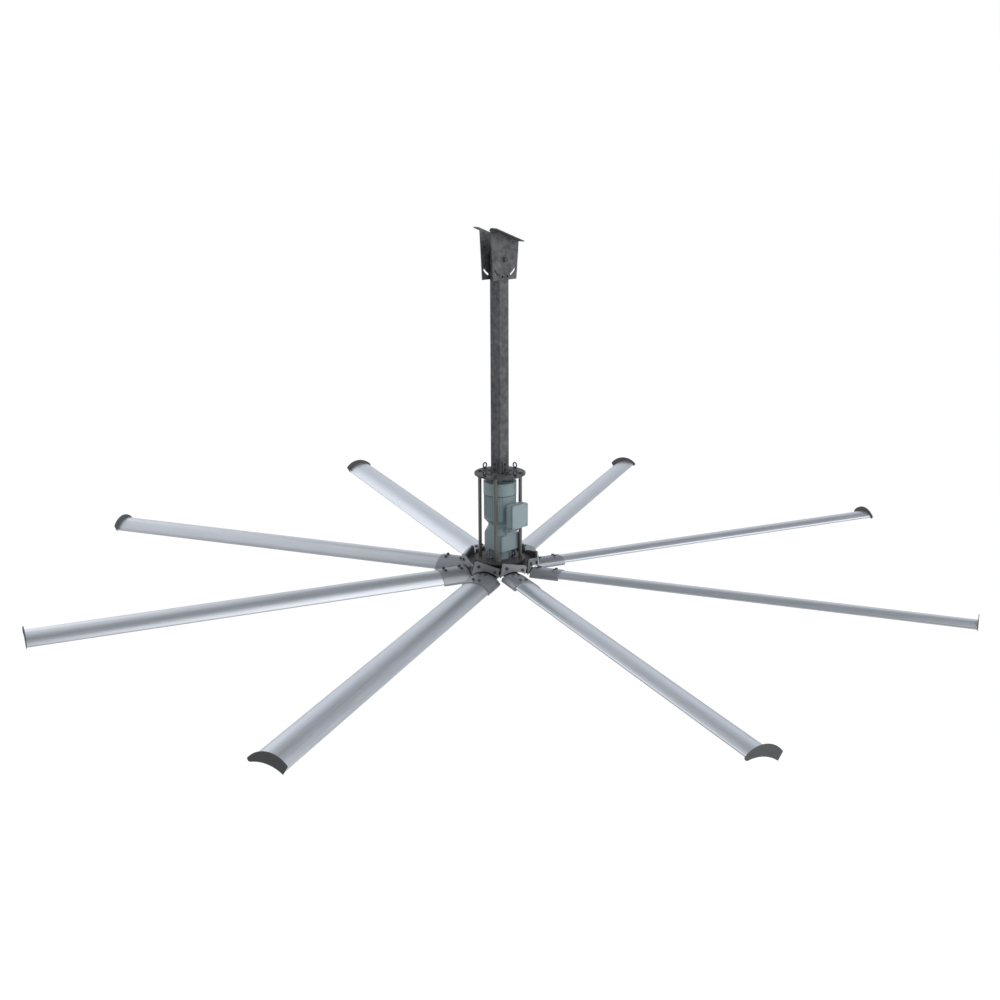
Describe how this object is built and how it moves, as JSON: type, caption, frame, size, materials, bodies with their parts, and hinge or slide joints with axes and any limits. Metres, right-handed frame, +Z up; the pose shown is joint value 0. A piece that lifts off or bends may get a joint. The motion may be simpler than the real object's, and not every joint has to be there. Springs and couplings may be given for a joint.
{
  "type": "barn ventilation fan",
  "caption": "Large ceiling fan for barns: long curved blades under a geared motor in a cage of rods, hung on a square drop tube with a sloped roof bracket.",
  "frame": {"origin": "on the fan's vertical axis, in the sloped plane where the two hanger flanges lie on the roof beam", "axes": "+Z up along the fan's axis; +X to the side where the roof falls; +Y to the rear, away from the terminal box; the hanger plates face along Y"},
  "size_m": [5.2056, 5.2056, 2.0906],
  "materials": {
    "galvanised": "mottled dark galvanised steel, satin",
    "rod_steel": "dark drawn steel",
    "zinc_steel": "zinc plated",
    "black_steel": "blackened, satin",
    "blade_aluminium": "extruded, clear anodised satin",
    "holder_aluminium": "extruded, clear anodised satin",
    "cap_grey": "dark grey, matte",
    "hub_iron": "cast, dark",
    "motor_paint": "pale blue-grey paint, semi-gloss",
    "lid_paint": "pale blue-grey paint, semi-gloss",
    "gear_steel": "ground and machined",
    "bearing_steel": "polished rings",
    "core_steel": "laminated steel and aluminium bars",
    "stator_steel": "laminated steel with lacquered copper ends",
    "black_plastic": "black, matte",
    "seal_rubber": "black rubber"
  },
  "bodies": {
    "hanger": {"hanger_plate_front": "galvanised", "hanger_plate_rear": "galvanised", "pivot_bolt": "zinc_steel", "pivot_nut": "zinc_steel"},
    "mast": {"drop_tube": "galvanised", "pivot_bush": "zinc_steel", "tube_cleats": "galvanised", "cleat_bolts": "zinc_steel", "cage_top_plate": "galvanised", "eye_bolts": "zinc_steel", "cage_rods": "rod_steel", "rod_nuts": "zinc_steel", "cage_base_plate": "galvanised", "mounting_brackets": "galvanised", "bracket_bolts": "black_steel", "motor_housing": "motor_paint", "fan_cowl": "motor_paint", "stator": "stator_steel", "end_shield": "motor_paint", "motor_flange": "motor_paint", "terminal_box": "motor_paint", "terminal_lid": "lid_paint", "lid_screws": "zinc_steel", "cable_gland": "black_plastic", "gearbox_housing": "motor_paint", "gearbox_cover": "motor_paint", "motor_bearings": "bearing_steel", "layshaft_bearings": "bearing_steel", "output_bearings": "bearing_steel", "output_seal": "seal_rubber"},
    "motor_rotor": {"rotor_shaft": "gear_steel", "rotor_core": "core_steel", "cooling_fan": "black_plastic"},
    "layshaft": {"layshaft": "gear_steel", "layshaft_wheel": "gear_steel"},
    "fan_rotor": {"output_shaft": "gear_steel", "output_wheel": "gear_steel", "hub_spider": "hub_iron", "hub_pan": "galvanised", "face_plates": "galvanised", "face_bolts": "black_steel", "shaft_end_bolt": "black_steel", "holder_bolts": "black_steel", "end_caps": "cap_grey", "blade_holder_1": "holder_aluminium", "blade_holder_2": "holder_aluminium", "blade_holder_3": "holder_aluminium", "blade_holder_4": "holder_aluminium", "blade_holder_5": "holder_aluminium", "blade_holder_6": "holder_aluminium", "blade_holder_7": "holder_aluminium", "blade_holder_8": "holder_aluminium", "blade_1": "blade_aluminium", "blade_2": "blade_aluminium", "blade_3": "blade_aluminium", "blade_4": "blade_aluminium", "blade_5": "blade_aluminium", "blade_6": "blade_aluminium", "blade_7": "blade_aluminium", "blade_8": "blade_aluminium"}
  },
  "joints": [
    {"name": "hanger_tilt", "type": "hinge", "parent": "hanger", "child": "mast", "pos_m": [0, 0, -0.14], "axis": [0, 1, 0], "range_deg": [-12, 12]},
    {"name": "rotor_spin", "type": "hinge", "parent": "mast", "child": "fan_rotor", "pos_m": [0, 0, -1.99], "axis": [0, 0, 1], "continuous": true},
    {"name": "motor_spin", "type": "hinge", "parent": "mast", "child": "motor_rotor", "pos_m": [0, 0, -1.99], "axis": [0, 0, 1], "continuous": true},
    {"name": "layshaft_spin", "type": "hinge", "parent": "mast", "child": "layshaft", "pos_m": [0, -0.045, -1.99], "axis": [0, 0, 1], "continuous": true}
  ],
  "couplings": [
    {"joint": "layshaft_spin", "follows": "rotor_spin", "ratio": -3.6154},
    {"joint": "motor_spin", "follows": "rotor_spin", "ratio": 16.408}
  ]
}
